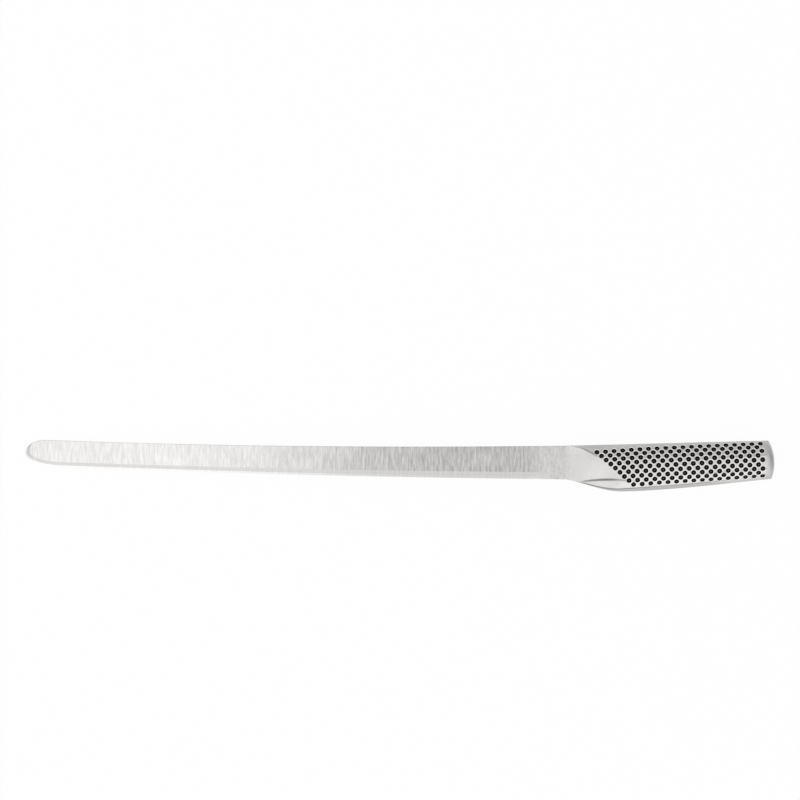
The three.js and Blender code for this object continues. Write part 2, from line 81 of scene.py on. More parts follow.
# Handle outline and section, as in the part's source
HANDLE_LENGTH = 123.6
NECK_HALF_HEIGHT = 10.1
BUTT_TOP = 13.1
SPINE_SLOPE = 0.02
GUARD_DEPTH = 17.2
GUARD_X = 33.5
GUARD_SLOPE = 0.025
NECK_SLOPE = -0.17
BUTT_BOTTOM = 9.7
BUTT_SLOPE = 0.095
BUTT_RADIUS = 27
BUTT_CROWN_Y = -0.2
CROWN_POWER = 6
HANDLE_THICKNESS = 17
SPINE_LAND = 4
BELLY_LAND = 2
BUTT_ROUNDING = 4
BUTT_NARROWING = 0.45
WALL = 1.6
FLARE_LENGTH = 34
FOLD_UPPER_X = 24.2  # how far back the scoop ends in its upper half
FOLD_AXIS_X = 25.7  # and where the leaning end of its lower half crosses y = 0
FOLD_LEAN = 1.06
FOLD_EASE = 1.5  # softness of the corner between the two
FOLD_TURN_Y = 8  # above this the end turns forward along the spine
FOLD_TURN = 2.8
FOLD_TURN_REACH = 2.1
FOLD_SOFTNESS = 0.06  # radius of the fold where the scoop meets the cheek
SCOOP_POWER = 1.6
SCOOP_FLOOR = -10.1
SCOOP_FLOOR_X = 26
SCOOP_ARCH = 0.0045
SCOOP_STEP = 0.9
GUARD_START = 5
GUARD_FULL = 24
CAVITY_FRONT = 14.5
NECK_GROOVE = 2
SEAM_GROOVE = 0.9
SEAM_FRONT = 17
SEAM_SLIT = 0.02  # half of the hairline between the two halves
SKIN_DEPTH = 0.03  # keeps the smooth cheek inside the faceted one of the frame
SKIN_REAR = HANDLE_LENGTH - SKIN_DEPTH

# Flats along the cheek: places are shares of the half height, heights shares of the bulge
MIDDLE_CROWN = 0.6  # how fast the middle flat falls away from the centre line
UPPER_RIDGE = 0.28
LOWER_RIDGE = 0.42
UPPER_SHOULDER = 0.85
UPPER_SHOULDER_HEIGHT = 0.34
UPPER_ROUNDING = 0.5  # share of the fall beyond the ridge that comes from rounding
LOWER_SHOULDER = 0.895
LOWER_SHOULDER_HEIGHT = 0.31
LOWER_ROUNDING = 0.45
GUARD_SHOULDER_HEIGHT = 0.88
GUARD_FADE_FRONT = 26  # the belly's fullness at the finger guard dies out between these two
GUARD_FADE_REAR = 58
FLAT_SOFTNESS = 0.008  # of the ridges between the flats

# Crease that parts the cheek from the underside
CREASE_INSET = 1.93  # above the bottom edge, reached between these two
CREASE_INSET_FRONT = -4
CREASE_INSET_REAR = 48
CREASE_HALF_WIDTH = 0.36
CREASE_DEPTH = 0.3
CREASE_FRONT = 3
CREASE_RUN = 10
CREASE_FADE_FRONT = 80  # between these two it grows faint
CREASE_FADE_REAR = 106
CREASE_REAR_SHARE = 0.1

# Painted shade on the cheek: dark lines along its creases, ridges, fold, guard's step and rim, as shares of
# the full painted shade, and the half widths of its lines
GUARD_CREASE_PAINTED_SHADE = 0.95  # up to the first of these two places
CREASE_PAINTED_SHADE = 0.7  # and from the second
CREASE_SHADE_FRONT = 34
CREASE_SHADE_REAR = 50
CHEEK_PAINTED_SHADE = 0.08
LIT_FLAT_START = 0.45  # shares of the half height between which the lower flat grows lighter, with less painted shade: painted light
LIT_FLAT_FULL = 0.6
UNDERSIDE_PAINTED_SHADE = 0.26
UNDERSIDE_EASE = 0.5  # half widths of the crease over which the underside's coat begins
UPPER_RIDGE_PAINTED_SHADE = 0.42
LOWER_RIDGE_PAINTED_SHADE = 0.5
RIDGE_FRONT = 30  # the ridges grow dark between these two
RIDGE_REAR = 112
RIDGE_LINE = 0.5
RIDGE_STOP = 4.5  # before the butt's end, where the ridges begin to lose their painted shade
FOLD_PAINTED_SHADE = 0.85
FOLD_LINE = 0.2
FOLD_LINE_FRONT = 16  # the fold's line dies out between these two
FOLD_LINE_REAR = 21
GUARD_PAINTED_SHADE = 0.7
GUARD_LINE = 0.62
GUARD_LINE_FRONT = 7
GUARD_LINE_FULL = 12
GUARD_LINE_FADE = 33
GUARD_LINE_REAR = 45
BUTT_PAINTED_SHADE = 0.22
BUTT_LINE = 6.5

# Grip dimples
DIMPLE_ROWS = 9
DIMPLE_FRONT_ROW_PITCH = 2.7
DIMPLE_ROW_PITCH = 2.76
DIMPLE_SPREAD_FRONT = 25
DIMPLE_SPREAD_REAR = 45
DIMPLE_PITCH = 5.142  # along the middle row
DIMPLE_PITCH_LOSS = 0.0022  # by the square of the rows from the middle one
DIMPLE_RADIUS = 1.56
DIMPLE_DEPTH = 0.6
DIMPLE_AXIS_X = 70
DIMPLE_AXIS_Y = -0.7
DIMPLE_AXIS_SLOPE = 0.055
DIMPLE_BEND_X = 45  # in front of this the rows bend down
DIMPLE_BEND = 0.001
DIMPLE_FRONT = 18.3
DIMPLE_BUTT_MARGIN = 6
DIMPLE_SIDES = 14
RIM_RADIUS = 1.83
RIM_DEPTH = 0.14
BOWL_BEND = 0.7  # share of the bowl's depth at which its side bends
BOWL_FLOOR = 0.96  # and the share at which its round side ends in a floor
CUTTER_EXCESS = 0.8
GIRTH_WALK = 0.05  # step of the walk round the cheek
RIM_PROBES = 8

# Enamel lenses: widths as shares of the dimple's radius, and how far each part lies below the one outside it
ENAMEL_GAP = 0.012  # between a lens and its bowl
ENAMEL_SLOPE = 0.36
ENAMEL_SLOPE_DROP = 0.1
ENAMEL_FLOOR = 0.42
ENAMEL_FLOOR_DROP = 0.05

# Greatest turns between faces that are shaded as one surface, in degrees
BLADE_SMOOTHING = 5
SHELL_SMOOTHING = 22
WELD_SMOOTHING = 30
ENAMEL_SMOOTHING = 40

# Tolerances for picking vertices and faces: distances, and the least part of a normal along an axis
TOUCHING = 0.0001
DOUBLES = 0.001
SQUARE_ON = 0.99
NEARLY_SQUARE_ON = 0.9
BELOW_FLAT = 0.999  # share of the bevel's rise that is still bevel

# Places on the frame
RACK_POINT = Vector((-150, 1, 0))  # of the two rack mounts, in the knife's own frame
MILLIMETRE = 0.001


def clamp(value, low=0.0, high=1.0):
    return max(low, min(high, value))


def lerp(start, end, share):
    return start + (end - start) * share


def smoothstep(value, low, high):
    t = clamp((value - low) / (high - low))
    return t * t * (3 - 2 * t)


def soft_min(values, softness):
    lowest = min(values)
    spread = sum(math.exp((lowest - value) / softness) for value in values)
    return lowest - softness * math.log(spread)


def hermite(x, x0, y0, slope0, x1, y1, slope1):
    run = x1 - x0
    t = (x - x0) / run
    start = y0 * (1 + 2 * t) * (1 - t) ** 2 + slope0 * run * t * (1 - t) ** 2
    end = y1 * t ** 2 * (3 - 2 * t) + slope1 * run * t ** 2 * (t - 1)
    return start + end


# Hand tools


def pick(*pieces):
    bpy.ops.object.select_all(action="DESELECT")
    for piece in pieces:
        piece.select_set(True)
    bpy.context.view_layer.objects.active = pieces[0]


def open_mesh(piece, mode="VERT"):
    pick(piece)
    bpy.ops.object.mode_set(mode="EDIT")
    bpy.ops.mesh.select_mode(type=mode)
    bpy.ops.mesh.select_all(action="DESELECT")


def close_mesh():
    bpy.ops.object.mode_set(mode="OBJECT")


def select_where(piece, rule, kind="verts"):
    mesh = bmesh.from_edit_mesh(piece.data)
    for element in getattr(mesh, kind):
        if rule(element):
            element.select_set(True)
    mesh.select_flush_mode()
    bmesh.update_edit_mesh(piece.data)


def skin(name, along, across, place):
    """A sheet whose vertices go where their shares along and across it say."""
    bpy.ops.object.select_all(action="DESELECT")
    bpy.ops.mesh.primitive_grid_add(x_subdivisions=along, y_subdivisions=across, size=2)
    piece = bpy.context.object
    piece.name = name
    for vertex in piece.data.vertices:
        vertex.co = place((vertex.co.x + 1) / 2, (vertex.co.y + 1) / 2)
    return piece


def fill_open_edges():
    bpy.ops.mesh.select_all(action="DESELECT")
    bpy.ops.mesh.select_non_manifold()
    bpy.ops.mesh.edge_face_add()


def face_outwards():
    bpy.ops.mesh.select_all(action="SELECT")
    bpy.ops.mesh.normals_make_consistent(inside=False)


def merge_doubles():
    bpy.ops.mesh.select_all(action="SELECT")
    bpy.ops.mesh.remove_doubles(threshold=DOUBLES)


def add_finishes(piece, finishes):
    for finish in finishes:
        piece.data.materials.append(finish)


def paint(piece, index, rule):
    """Gives one of an open piece's finishes to the faces that a rule picks."""
    bpy.ops.mesh.select_all(action="DESELECT")
    select_where(piece, rule, "faces")
    piece.active_material_index = index
    bpy.ops.object.material_slot_assign()


def smooth(piece, degrees):
    pick(piece)
    bpy.ops.object.shade_smooth_by_angle(angle=math.radians(degrees))


def duplicate(piece, name):
    pick(piece)
    bpy.ops.object.duplicate()
    copy = bpy.context.object
    copy.name = name
    return copy


def combine(piece, tool, operation):
    """Cuts a closed piece with another, joins them or keeps what they share, and removes the other."""
    modifier = piece.modifiers.new("combine", "BOOLEAN")
    modifier.operation = operation
    modifier.solver = "MANIFOLD"
    modifier.object = tool
    pick(piece)
    bpy.ops.object.modifier_apply(modifier=modifier.name)
    bpy.data.objects.remove(tool)


def resting_place():
    """The move from the knife's own frame, in millimetres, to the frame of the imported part."""
    mounts = {mount["name"]: mount for mount in frame["record"]["mounts"]}
    left = mounts["blade_flat_left"]
    right = mounts["blade_flat_right"]
    across = Vector(left["axis"]) - Vector(right["axis"])
    turn = Matrix.Rotation(math.atan2(across.x, across.z), 4, "Y")
    middle = (Vector(left["pos_m"]) + Vector(right["pos_m"])) / 2
    scaled = turn @ Matrix.Scale(MILLIMETRE, 4)
    return Matrix.Translation(middle - scaled @ RACK_POINT) @ scaled


def lay_down(piece, slot, *nodes):
    """Puts a finished piece where the frame holds the knife, in place of its CAD nodes."""
    piece.matrix_world = resting_place()
    pick(piece)
    bpy.ops.object.transform_apply(location=True, rotation=True, scale=True)
    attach(piece, "root")
    if nodes:
        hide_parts(*nodes)


# Blade shape


def blade_half_thickness(x):
    return lerp(HEEL_THICKNESS, NOSE_THICKNESS, -x / BLADE_LENGTH) / 2


def blade_half_height(x):
    return lerp(NOSE_HEIGHT, HEEL_HEIGHT, clamp(1 + x / BLADE_LENGTH) ** TAPER_POWER) / 2


def blade_centre(x):
    return NOSE_RISE * clamp(-x / BLADE_LENGTH) ** SWEEP_POWER


def spine_y(x):
    return blade_centre(x) + blade_half_height(x)


def edge_y(x):
    return blade_centre(x) - blade_half_height(x)


# Shares of the outline at which the spine ends, the nose turns, the edge starts and the bevel dies out
SPINE_SHARE = 0.22
TIP_SHARE = 0.42
EDGE_SHARE = 0.68
RUNOUT_SHARE = 0.88


def blade_outline(share):
    """Point of the outline from the heel's spine corner round the nose to its edge corner.

    With it come the shares of the full bevel that its width and its depth have there.
    """
    spine_end = NOSE_SPINE_RUN - BLADE_LENGTH
    edge_end = NOSE_EDGE_RUN - BLADE_LENGTH
    runout = -BLUNT_HEEL - BEVEL_RUNOUT
    if share < SPINE_SHARE:
        x = lerp(0, spine_end, share / SPINE_SHARE)
        return x, spine_y(x), 0, 0
    if share < TIP_SHARE:
        angle = (share - SPINE_SHARE) / (TIP_SHARE - SPINE_SHARE) * math.pi / 2
        x = spine_end - NOSE_SPINE_RUN * math.sin(angle)
        drop = NOSE_DROP * (1 - math.cos(angle))
        grind = smoothstep(angle, NOSE_GRIND_START, math.pi / 2)
        return x, spine_y(x) - drop, grind, grind
    if share < EDGE_SHARE:
        angle = (share - TIP_SHARE) / (EDGE_SHARE - TIP_SHARE) * math.pi / 2
        fullness = 2 / NOSE_EDGE_POWER
        x = edge_end - NOSE_EDGE_RUN * math.cos(angle) ** fullness
        rise = (NOSE_HEIGHT - NOSE_DROP) * (1 - math.sin(angle) ** fullness)
        return x, edge_y(x) + rise, 1, 1
    if share < RUNOUT_SHARE:
        x = lerp(edge_end, runout, (share - EDGE_SHARE) / (RUNOUT_SHARE - EDGE_SHARE))
        return x, edge_y(x), 1, 1
    x = lerp(runout, 0, (share - RUNOUT_SHARE) / (1 - RUNOUT_SHARE))
    width = smoothstep(-x, BLUNT_HEEL, BLUNT_HEEL + BEVEL_CLOSING)
    return x, edge_y(x), width, smoothstep(-x, BLUNT_HEEL, BLUNT_HEEL + BEVEL_RUNOUT)


BLADE_STEPS = 300
GRIND_STEPS = 6  # vertices across the grind on each side
HONED_STEPS = 2  # of them, the steps across the honed strip
OUTLINE_NUDGE = 0.0005
OUTLINE_SKIN = 0.02  # keeps the smooth outline inside the faceted one of the frame


def bevel_rise(step):
    return step + BEVEL_CROWN * step * (1 - step)


def blade_point(share, across):
    """Point of the band that wraps the outline from the left flat, over the rim, to the right flat."""
    x, y, width, grind = blade_outline(share)
    x0, y0 = blade_outline(clamp(share - OUTLINE_NUDGE))[:2]
    x1, y1 = blade_outline(clamp(share + OUTLINE_NUDGE))[:2]
    inward = Vector((y0 - y1, x1 - x0)).normalized()
    if share < OUTLINE_NUDGE or share > 1 - OUTLINE_NUDGE:
        inward = Vector((0, -1 if y > 0 else 1))
    ground = lerp(HEEL_BEVEL, NOSE_BEVEL, -x / BLADE_LENGTH)
    inset = lerp(SPINE_CHAMFER, ground, width)
    signed = 2 * across - 1
    column = round((abs(signed) * (2 * GRIND_STEPS - 1) - 1) / 2)
    step = HONED_SHARE * column / HONED_STEPS
    if column > HONED_STEPS:
        step = lerp(HONED_SHARE, 1, (column - HONED_STEPS) / (GRIND_STEPS - 1 - HONED_STEPS))
    rim = lerp(blade_half_thickness(x) - SPINE_CHAMFER, EDGE_THICKNESS / 2, grind)
    half = blade_half_thickness(x + inward.x * inset)
    z = lerp(rim, half, bevel_rise(step))
    drawn_in = inset * step + OUTLINE_SKIN
    return Vector((x + inward.x * drawn_in, y + inward.y * drawn_in, math.copysign(z, -signed)))


def make_blade(finishes):
    blade = skin("blade_body", BLADE_STEPS, 2 * GRIND_STEPS - 1, blade_point)
    add_finishes(blade, finishes)

    open_mesh(blade)
    for side in (1, -1):
        bpy.ops.mesh.select_all(action="DESELECT")
        select_where(blade, lambda v: side * v.co.z > blade_half_thickness(v.co.x) - TOUCHING)
        bpy.ops.mesh.edge_face_add()
    fill_open_edges()
    face_outwards()

    bpy.ops.mesh.select_mode(type="FACE")
    bpy.ops.mesh.select_all(action="DESELECT")
    select_where(blade, lambda face: face.normal.x > SQUARE_ON, "faces")
    margin = (HEEL_THICKNESS - TONGUE_THICKNESS) / 2
    bpy.ops.mesh.inset(thickness=margin)
    shrink = TONGUE_HEIGHT / (HEEL_HEIGHT - 2 * margin)
    bpy.ops.transform.resize(value=(1, shrink, 1), center_override=(0, 0, 0))
    bpy.ops.mesh.extrude_region_move(TRANSFORM_OT_translate={"value": (TONGUE_LENGTH, 0, 0)})

    def bevel_share(face):
        """How far up its side a face of the bevel lies, from the edge at 0 to the flat at 1."""
        middle = face.calc_center_median()
        rim = EDGE_THICKNESS / 2
        return (abs(middle.z) - rim) / (blade_half_thickness(middle.x) - rim)

    def is_bevel(face):
        return abs(face.normal.z) > NEARLY_SQUARE_ON and bevel_share(face) < BELOW_FLAT

    def is_honed(face):
        return is_bevel(face) and bevel_share(face) < bevel_rise(HONED_SHARE)

    paint(blade, 1, is_bevel)
    paint(blade, 2, is_honed)
    close_mesh()
    smooth(blade, BLADE_SMOOTHING)
    return blade


# Handle shape


def handle_top(x):
    return hermite(x, 0, NECK_HALF_HEIGHT, SPINE_SLOPE, HANDLE_LENGTH, BUTT_TOP, SPINE_SLOPE)


def handle_bottom(x):
    if x < GUARD_X:
        return hermite(x, 0, -NECK_HALF_HEIGHT, NECK_SLOPE, GUARD_X, -GUARD_DEPTH, GUARD_SLOPE)
    return hermite(x, GUARD_X, -GUARD_DEPTH, GUARD_SLOPE, HANDLE_LENGTH, -BUTT_BOTTOM, BUTT_SLOPE)


def handle_centre(x):
    return (handle_top(x) + handle_bottom(x)) / 2


def butt_x(y):
    crown = math.sqrt(BUTT_RADIUS ** 2 - (y - BUTT_CROWN_Y) ** 2)
    return HANDLE_LENGTH - BUTT_RADIUS + crown


def fold_x(y):
    end = -soft_min((-FOLD_UPPER_X, FOLD_LEAN * y - FOLD_AXIS_X), FOLD_EASE)
    return end - FOLD_TURN * clamp(y - FOLD_TURN_Y, 0, FOLD_TURN_REACH) ** 2


def section_bulge(x, v):
    """How full the cheek is at a signed share of its half height: three soft flats and a rounded edge."""
    reach = abs(v)
    ridge = UPPER_RIDGE
    shoulder = UPPER_SHOULDER
    height = UPPER_SHOULDER_HEIGHT
    rounding = UPPER_ROUNDING
    if v < 0:
        fading = smoothstep(x, GUARD_FADE_FRONT, GUARD_FADE_REAR)
        ridge = LOWER_RIDGE
        shoulder = LOWER_SHOULDER
        height = lerp(GUARD_SHOULDER_HEIGHT, LOWER_SHOULDER_HEIGHT, fading)
        rounding = LOWER_ROUNDING
    middle = 1 - MIDDLE_CROWN * reach ** 2
    ridge_height = 1 - MIDDLE_CROWN * ridge ** 2
    beyond = (reach - ridge) / (shoulder - ridge)
    side = ridge_height - (ridge_height - height) * lerp(beyond, beyond ** 2, rounding)
    if reach < ridge:
        side = middle + ridge - reach
    edge = height * (1 - reach) / (1 - shoulder)
    return max(0, soft_min((middle, side, edge), FLAT_SOFTNESS))


def scoop_floor(x):
    return SCOOP_FLOOR - SCOOP_ARCH * (x - SCOOP_FLOOR_X) ** 2


def scoop_share(x, y):
    """How much of the thumb's scoop there is: all above its floor, none on the finger guard."""
    floor_y = scoop_floor(x)
    above = smoothstep(y, floor_y - SCOOP_STEP, floor_y + SCOOP_STEP)
    return lerp(1, above, smoothstep(x, GUARD_START, GUARD_FULL))


def crease_offset(x, y):
    """Height above the crease that parts the cheek from the underside, in half widths of the crease."""
    inset = CREASE_INSET * smoothstep(x, CREASE_INSET_FRONT, CREASE_INSET_REAR)
    return (y - handle_bottom(x) - inset) / CREASE_HALF_WIDTH


def crease_share(x):
    """How much of the crease there is along the handle."""
    fading = smoothstep(x, CREASE_FADE_FRONT, CREASE_FADE_REAR)
    return smoothstep(x, CREASE_FRONT, CREASE_FRONT + CREASE_RUN) * lerp(1, CREASE_REAR_SHARE, fading)


def handle_side(x, y, inset):
    """Half thicknesses that the full cheek and the thumb's scoop would have at a point of the side view."""
    neck_half = HEEL_THICKNESS / 2
    full_half = HANDLE_THICKNESS / 2
    flare = math.sin(math.pi / 2 * clamp(x / FLARE_LENGTH))
    body = lerp(neck_half, full_half, flare) - inset
    reach = (handle_top(x) - handle_bottom(x)) / 2 - inset
    v = clamp((y - handle_centre(x)) / reach, -1, 1)
    land = clamp((SPINE_LAND if v > 0 else BELLY_LAND) / 2 - inset, 0, body)
    full = land + (body - land) * section_bulge(x, v)
    scoop = lerp(neck_half, full_half, clamp(x / fold_x(y)) ** SCOOP_POWER) - inset
    return full, scoop


def handle_half(x, y, inset):
    """Half thickness of the handle at a point of its side view, drawn in by inset all round."""
    full, scoop = handle_side(x, y, inset)
    cheek = lerp(full, soft_min((full, scoop), FOLD_SOFTNESS), scoop_share(x, y))
    groove = crease_share(x) * CREASE_DEPTH * math.exp(-crease_offset(x, y) ** 2)
    to_butt = clamp((butt_x(y) - x) / BUTT_ROUNDING)
    rounding = 1 - BUTT_NARROWING * (1 - math.sqrt(1 - (1 - to_butt) ** 2))
    return (cheek - groove) * rounding


def line_share(distance, half_width):
    return math.exp(-(distance / half_width) ** 2)


def residue(x, y):
    """Share of painted shade on the cheek: in its creases, along its ridges and fold, over the guard's step
    and round its rim, and less on the lower flat.
    """
    full, scoop = handle_side(x, y, SKIN_DEPTH)
    reach = (handle_top(x) - handle_bottom(x)) / 2
    height = y - handle_centre(x)
    offset = crease_offset(x, y)
    on_grip = smoothstep(scoop - full, 0, FOLD_LINE)
    fold_fading = 1 - smoothstep(x, FOLD_LINE_FRONT, FOLD_LINE_REAR)
    guard_start = smoothstep(x, GUARD_LINE_FRONT, GUARD_LINE_FULL)
    guard_fading = 1 - smoothstep(x, GUARD_LINE_FADE, GUARD_LINE_REAR)
    from_end = x - butt_x(y)
    ridge_fading = 1 - smoothstep(from_end, -RIDGE_STOP, -RIDGE_STOP / 2)
    on_ridge = on_grip * smoothstep(x, RIDGE_FRONT, RIDGE_REAR) * ridge_fading
    behind_guard = smoothstep(x, CREASE_SHADE_FRONT, CREASE_SHADE_REAR)
    crease_shade = lerp(GUARD_CREASE_PAINTED_SHADE, CREASE_PAINTED_SHADE, behind_guard)
    # Painted light: the grip's lower flat gets less painted shade, so it comes out lighter
    polished = on_grip * smoothstep(-height / reach, LIT_FLAT_START, LIT_FLAT_FULL)
    return max(
        CHEEK_PAINTED_SHADE * (1 - polished),
        crease_shade * crease_share(x) * line_share(offset, 1),
        UNDERSIDE_PAINTED_SHADE * crease_share(x) * smoothstep(-offset, -UNDERSIDE_EASE, UNDERSIDE_EASE),
        UPPER_RIDGE_PAINTED_SHADE * on_ridge * line_share(height - UPPER_RIDGE * reach, RIDGE_LINE),
        LOWER_RIDGE_PAINTED_SHADE * on_ridge * line_share(height + LOWER_RIDGE * reach, RIDGE_LINE),
        FOLD_PAINTED_SHADE * fold_fading * line_share(full - scoop, FOLD_LINE) * (height > 0),
        GUARD_PAINTED_SHADE * guard_start * guard_fading * line_share(y - scoop_floor(x), GUARD_LINE),
        BUTT_PAINTED_SHADE * smoothstep(from_end, -BUTT_LINE, -BUTT_LINE / 2),
    )


NECK_ROWS_SHARE = 0.5  # of the rows along the handle, those that lie on the neck
NECK_ROWS_END = 46
BUTT_ROWS_SHARE = 0.08
CHEEK_STEPS = 260
GIRTH_STEPS = 100
HOLLOW_STEPS = 60
HOLLOW_GIRTH_STEPS = 28


def station(share, front, rear):
    """Distance along the handle, with its rows closer together on the neck and at the butt."""
    butt_share = 1 - BUTT_ROWS_SHARE
    butt_front = rear - BUTT_ROUNDING
    if share < NECK_ROWS_SHARE:
        return lerp(front, NECK_ROWS_END, share / NECK_ROWS_SHARE)
    if share < butt_share:
        return lerp(NECK_ROWS_END, butt_front, (share - NECK_ROWS_SHARE) / (butt_share - NECK_ROWS_SHARE))
    return lerp(butt_front, rear, math.sin(math.pi / 2 * (share - butt_share) / BUTT_ROWS_SHARE))


def cheek_point(along, across, front, rear, inset):
    distance = station(along, front, rear)
    v = -math.cos(math.pi * across)
    y = lerp(handle_bottom(distance) + inset, handle_top(distance) - inset, (v + 1) / 2)
    x = distance - (HANDLE_LENGTH - butt_x(y)) * (distance / HANDLE_LENGTH) ** CROWN_POWER
    return Vector((x, y, handle_half(x, y, inset)))


def half_solid(name, along, across, front, rear, inset, base):
    """Solid between the cheek's surface and a plane of constant z below it."""
    solid = skin(name, along, across, lambda u, v: cheek_point(u, v, front, rear, inset))
    open_mesh(solid)
    bpy.ops.mesh.select_non_manifold()
    bpy.ops.mesh.extrude_edges_move()
    bpy.ops.transform.resize(value=(1, 1, 0), center_override=(0, 0, base))
    bpy.ops.mesh.edge_face_add()
    face_outwards()
    close_mesh()
    return solid


def outer_half(name, base):
    return half_solid(name, CHEEK_STEPS, GIRTH_STEPS, NECK_GROOVE, SKIN_REAR, SKIN_DEPTH, base)


def girth_point(x, girth):
    """Point of the left cheek at a distance along its girth from the middle row, with its normal.

    On a ridge it lies below the surface, as deep as the lowest point of the dimple's rim.
    """
    step = math.copysign(GIRTH_WALK, girth)
    bend = DIMPLE_BEND * max(0, DIMPLE_BEND_X - x) ** 2
    y = DIMPLE_AXIS_Y + DIMPLE_AXIS_SLOPE * (x - DIMPLE_AXIS_X) - bend
    full = handle_side(x, y, SKIN_DEPTH)[0]
    walked = 0
    while walked < abs(girth):
        y += step
        next_full = handle_side(x, y, SKIN_DEPTH)[0]
        walked += math.hypot(step, next_full - full)
        full = next_full
    reach = DIMPLE_RADIUS
    slope_x = (handle_half(x + reach, y, SKIN_DEPTH) - handle_half(x - reach, y, SKIN_DEPTH)) / (2 * reach)
    slope_y = (handle_half(x, y + reach, SKIN_DEPTH) - handle_half(x, y - reach, SKIN_DEPTH)) / (2 * reach)
    at = Vector((x, y, handle_half(x, y, SKIN_DEPTH)))
    normal = Vector((-slope_x, -slope_y, 1)).normalized()
    drop = 0
    for k in range(RIM_PROBES):
        angle = 2 * math.pi * k / RIM_PROBES
        rim_x = x + reach * math.cos(angle)
        rim_y = y + reach * normal.z * math.sin(angle)
        rim = Vector((rim_x, rim_y, handle_half(rim_x, rim_y, SKIN_DEPTH)))
        drop = max(drop, -(rim - at).dot(normal))
    return at - normal * drop, normal


def dimple_places():
    """The move of each dimple from its own frame, z outwards, to the left cheek."""
    middle = (DIMPLE_ROWS - 1) / 2
    places = []
    for row in range(DIMPLE_ROWS):
        x = DIMPLE_FRONT + row * (DIMPLE_PITCH / 2 + DIMPLE_AXIS_SLOPE * DIMPLE_ROW_PITCH)
        while x < HANDLE_LENGTH - DIMPLE_BUTT_MARGIN:
            spreading = smoothstep(x, DIMPLE_SPREAD_FRONT, DIMPLE_SPREAD_REAR)
            row_pitch = lerp(DIMPLE_FRONT_ROW_PITCH, DIMPLE_ROW_PITCH, spreading)
            at, normal = girth_point(x, (middle - row) * row_pitch)
            turn = normal.to_track_quat("Z", "Y").to_matrix().to_4x4()
            places.append(Matrix.Translation(at) @ turn)
            x += DIMPLE_PITCH - DIMPLE_PITCH_LOSS * (middle - row) ** 2
    return places


def turned_plug(name, rings):
    """A closed round plug: each ring is a radius and a height, the first one on top."""
    radius, height = rings[0]
    bpy.ops.object.select_all(action="DESELECT")
    bpy.ops.mesh.primitive_circle_add(
        vertices=DIMPLE_SIDES, radius=radius, fill_type="NGON", location=(0, 0, height)
    )
    plug = bpy.context.object
    plug.name = name
    bpy.ops.object.transform_apply(location=True)
    bpy.ops.object.mode_set(mode="EDIT")
    bpy.ops.mesh.select_mode(type="FACE")
    bpy.ops.mesh.select_all(action="SELECT")
    for next_radius, next_height in rings[1:]:
        bpy.ops.mesh.extrude_region_move(TRANSFORM_OT_translate={"value": (0, 0, next_height - height)})
        growth = next_radius / radius
        bpy.ops.transform.resize(value=(growth, growth, 1), center_override=(0, 0, next_height))
        radius = next_radius
        height = next_height
    face_outwards()
    bpy.ops.mesh.select_all(action="DESELECT")
    close_mesh()
    return plug


def spread(pattern, places):
    """Copies a pattern to each place and joins the copies."""
    copies = []
    for place in places:
        copy = pattern.copy()
        copy.data = pattern.data.copy()
        copy.matrix_world = place
        bpy.context.scene.collection.objects.link(copy)
        copies.append(copy)
    bpy.data.objects.remove(pattern)
    pick(*copies)
    bpy.ops.object.join()
    joined = bpy.context.object
    bpy.ops.object.transform_apply(location=True, rotation=True, scale=True)
    return joined


def bowl_radius(share):
    """Radius of the round dimple bowl at a share of its depth."""
    return DIMPLE_RADIUS * math.sqrt(1 - share ** 2)


def bowl_height(share):
    return -RIM_DEPTH - share * (DIMPLE_DEPTH - RIM_DEPTH)


def dimple_cutter(finishes):
    rings = [
        (RIM_RADIUS, CUTTER_EXCESS),
        (RIM_RADIUS, 0),
        (DIMPLE_RADIUS, -RIM_DEPTH),
        (bowl_radius(BOWL_BEND), bowl_height(BOWL_BEND)),
        (bowl_radius(BOWL_FLOOR), -DIMPLE_DEPTH),
    ]
    cutter = turned_plug("dimple_cutter", rings)
    add_finishes(cutter, finishes)
    open_mesh(cutter, "FACE")
    paint(cutter, 1, lambda face: -RIM_DEPTH < face.calc_center_median().z < 0)
    paint(cutter, 2, lambda face: face.calc_center_median().z < -RIM_DEPTH)
    close_mesh()
    return cutter


# Seams

BEAD_ROOM = 0.02  # between a bead's root and the root of its groove
SEAM_STEPS = 90
WEDGE_EXCESS = 0.2  # how far a wedge stands out of the seam
WEDGE_CORNERS = 3


def spine_seam(share, height):
    """Place along a seam, at a height above it; the seams meet in mitres at the butt."""
    x = lerp(SEAM_FRONT, butt_x(handle_top(HANDLE_LENGTH)) + height, share)
    return Vector((x, handle_top(x) - SKIN_DEPTH + height, 0))


def belly_seam(share, height):
    x = lerp(SEAM_FRONT, butt_x(handle_bottom(HANDLE_LENGTH)) + height, share)
    return Vector((x, handle_bottom(x) + SKIN_DEPTH - height, 0))


def butt_seam(share, height):
    y = lerp(handle_top(HANDLE_LENGTH) + height, handle_bottom(HANDLE_LENGTH) - height, share)
    return Vector((butt_x(y) - SKIN_DEPTH + height, y, 0))


def seam_wedge(path, depth):
    """A wedge along a seam: its edge lies inside the handle and its back stands outside."""
    half_width = depth + WEDGE_EXCESS

    def place(along, around):
        corner = round(WEDGE_CORNERS * around) % WEDGE_CORNERS
        if corner == 1:
            return path(along, -depth)
        side = half_width if corner == 0 else -half_width
        return path(along, WEDGE_EXCESS) + Vector((0, 0, side))

    wedge = skin("wedge", SEAM_STEPS, WEDGE_CORNERS, place)
    open_mesh(wedge)
    merge_doubles()
    fill_open_edges()
    face_outwards()
    close_mesh()
    return wedge


